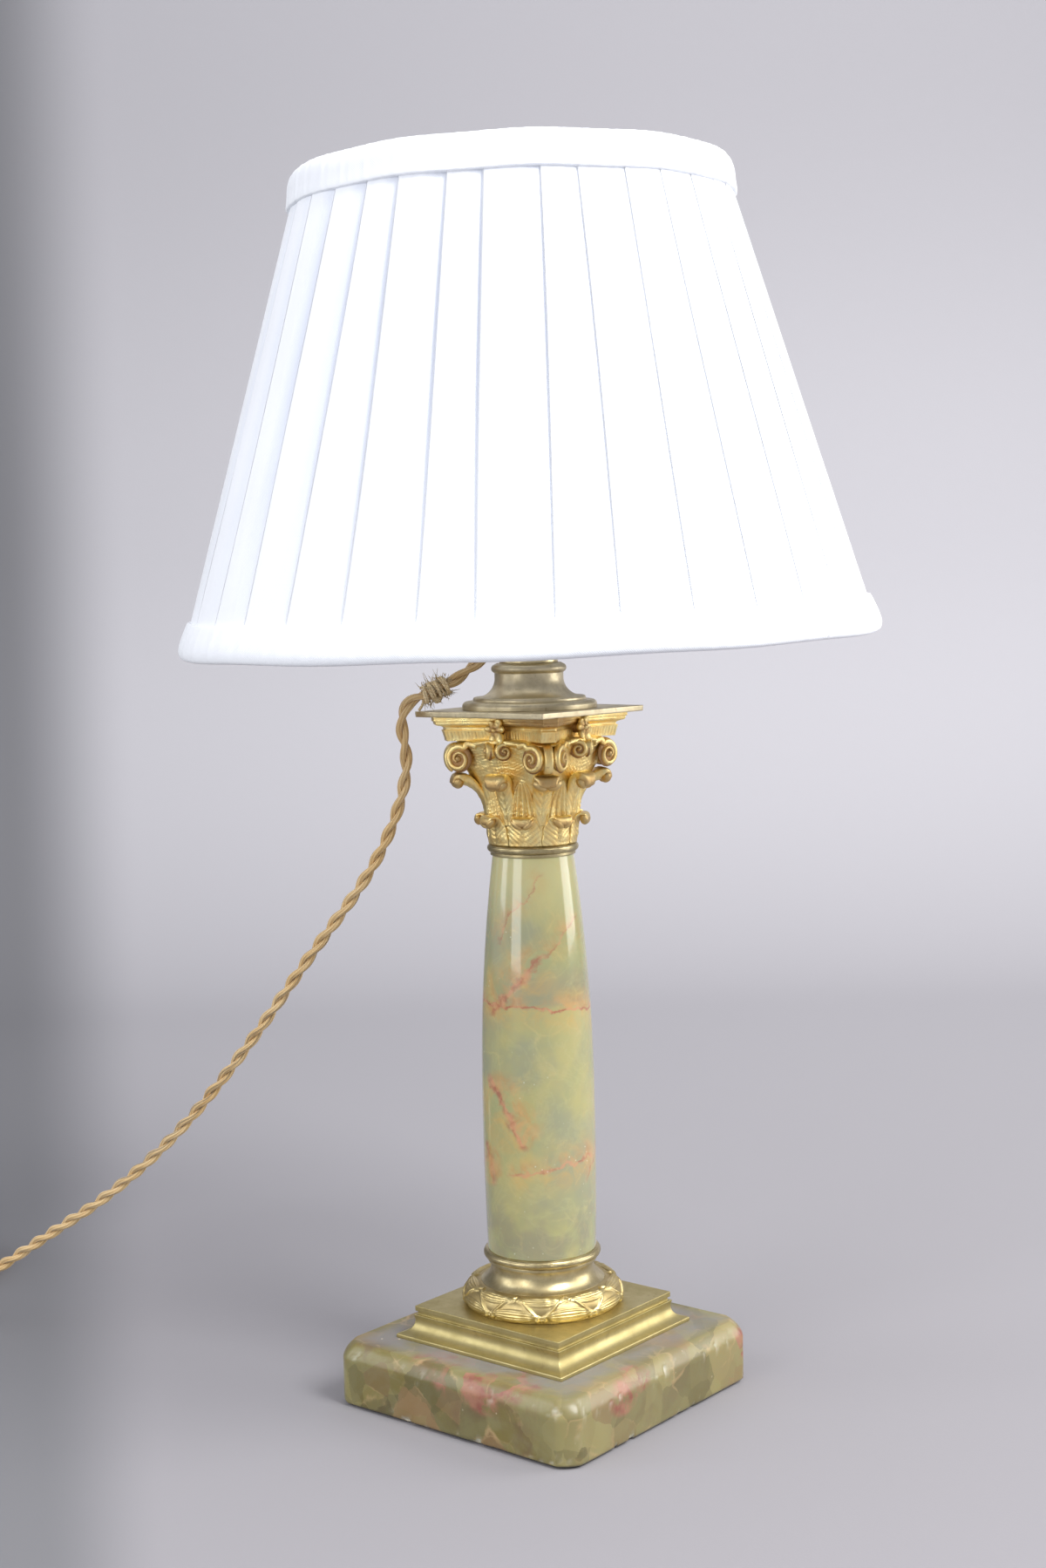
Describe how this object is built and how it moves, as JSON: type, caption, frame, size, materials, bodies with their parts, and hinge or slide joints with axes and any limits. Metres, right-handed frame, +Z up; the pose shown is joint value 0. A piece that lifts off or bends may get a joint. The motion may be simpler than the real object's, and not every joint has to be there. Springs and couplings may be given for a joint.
{
  "type": "column table lamp",
  "caption": "Column table lamp: onyx column on a stepped square base, gilt leaf capital, pleated cloth shade that tilts and swivels, bayonet bulb, twisted silk flex and plug.",
  "frame": {"origin": "on the table under the column's axis, at the centre of the baize pad's underside", "axes": "+Z up the column; the square base, plate and capital have their sides along X and Y; the flex leaves towards the corner at -X -Y; the shade's pivots lie along X"},
  "size_m": [0.5882, 0.3045, 0.5368],
  "materials": {
    "baize": "felt",
    "plinth_onyx": "polished",
    "column_onyx": "polished",
    "steel": "plain",
    "satin_brass": "satin",
    "wreath_brass": "cast",
    "aged_brass": "aged",
    "gilt": "gilt, rubbed",
    "fitting_brass": "turned",
    "dark_plastic": "moulded",
    "porcelain": "glazed",
    "silk_flex": "braided silk over rubber",
    "string": "frayed",
    "plug_plastic": "moulded",
    "bulb_metal": "plain",
    "solder": "dull",
    "dark_glass": "vitrite",
    "bulb_glass": "pearl",
    "stem_glass": "clear",
    "white_metal": "coated wire",
    "shade_cloth": "pleated cotton",
    "shade_lining": "plain",
    "shade_band": "rolled band"
  },
  "bodies": {
    "lamp": {"baize_pad": "baize", "onyx_plinth": "plinth_onyx", "tie_rod": "steel", "rod_washer": "steel", "rod_nut": "steel", "brass_step": "satin_brass", "wreath_torus": "wreath_brass", "base_scotia": "wreath_brass", "lower_astragal": "aged_brass", "onyx_column": "column_onyx", "upper_astragal": "aged_brass", "capital_bell": "gilt", "lower_leaves": "gilt", "upper_leaves": "gilt", "corner_volutes": "gilt", "inner_helices": "gilt", "abacus": "gilt", "abacus_flowers": "gilt", "top_plate": "aged_brass", "neck_cup": "aged_brass", "neck_collar": "fitting_brass", "lampholder_nipple": "fitting_brass", "lampholder_cap": "fitting_brass", "cord_bush": "dark_plastic", "insulator": "porcelain", "terminal_posts": "fitting_brass", "contact_springs": "steel", "lampholder_barrel": "fitting_brass", "flex_run": "silk_flex", "string_tie": "string", "flex_coil": "silk_flex", "plug_cover": "plug_plastic", "plug_base": "plug_plastic", "plug_power_pins": "fitting_brass", "plug_earth_pin": "fitting_brass", "plug_fuse": "porcelain", "plug_screw": "steel"},
    "switch": {"switch_bar": "dark_plastic"},
    "plungers": {"contact_plungers": "fitting_brass"},
    "bulb": {"bulb_cap": "bulb_metal", "bulb_contacts": "solder", "bulb_end_disc": "dark_glass", "bulb_pins": "fitting_brass", "bulb_glass": "bulb_glass", "filament_stem": "stem_glass"},
    "shade_nut": {"shade_ring": "fitting_brass"},
    "gimbal": {"gimbal_ring": "white_metal", "gimbal_pivots": "steel"},
    "shade": {"shade_spider": "white_metal", "shade_bottom_wire": "white_metal", "shade_top_wire": "white_metal", "shade_struts": "white_metal", "shade_cover": "shade_cloth", "shade_lining": "shade_lining", "bottom_trim": "shade_band", "top_trim": "shade_band"}
  },
  "joints": [
    {"name": "switch_press", "type": "slide", "parent": "lamp", "child": "switch", "axis": [-1, 0, 0], "range_m": [0, 0.006]},
    {"name": "bulb_push", "type": "slide", "parent": "lamp", "child": "bulb", "axis": [0, 0, -1], "range_m": [0, 0.0018], "stiffness_N_per_m": 1200, "springref_m": -0.004},
    {"name": "plunger_travel", "type": "slide", "parent": "lamp", "child": "plungers", "axis": [0, 0, -1], "range_m": [0, 0.0018], "deforming": ["contact_springs"]},
    {"name": "shade_ring_turn", "type": "hinge", "parent": "lamp", "child": "shade_nut", "pos_m": [0, 0, 0.375], "axis": [0, 0, 1], "range_deg": [0, 90]},
    {"name": "shade_swivel", "type": "hinge", "parent": "lamp", "child": "gimbal", "pos_m": [0, 0, 0.3757], "axis": [0, 0, 1], "continuous": true},
    {"name": "shade_tilt", "type": "hinge", "parent": "gimbal", "child": "shade", "pos_m": [0, 0, 0.3757], "axis": [1, 0, 0], "range_deg": [-16.75, 13.25]}
  ],
  "couplings": [
    {"joint": "plunger_travel", "follows": "bulb_push", "ratio": 1}
  ]
}
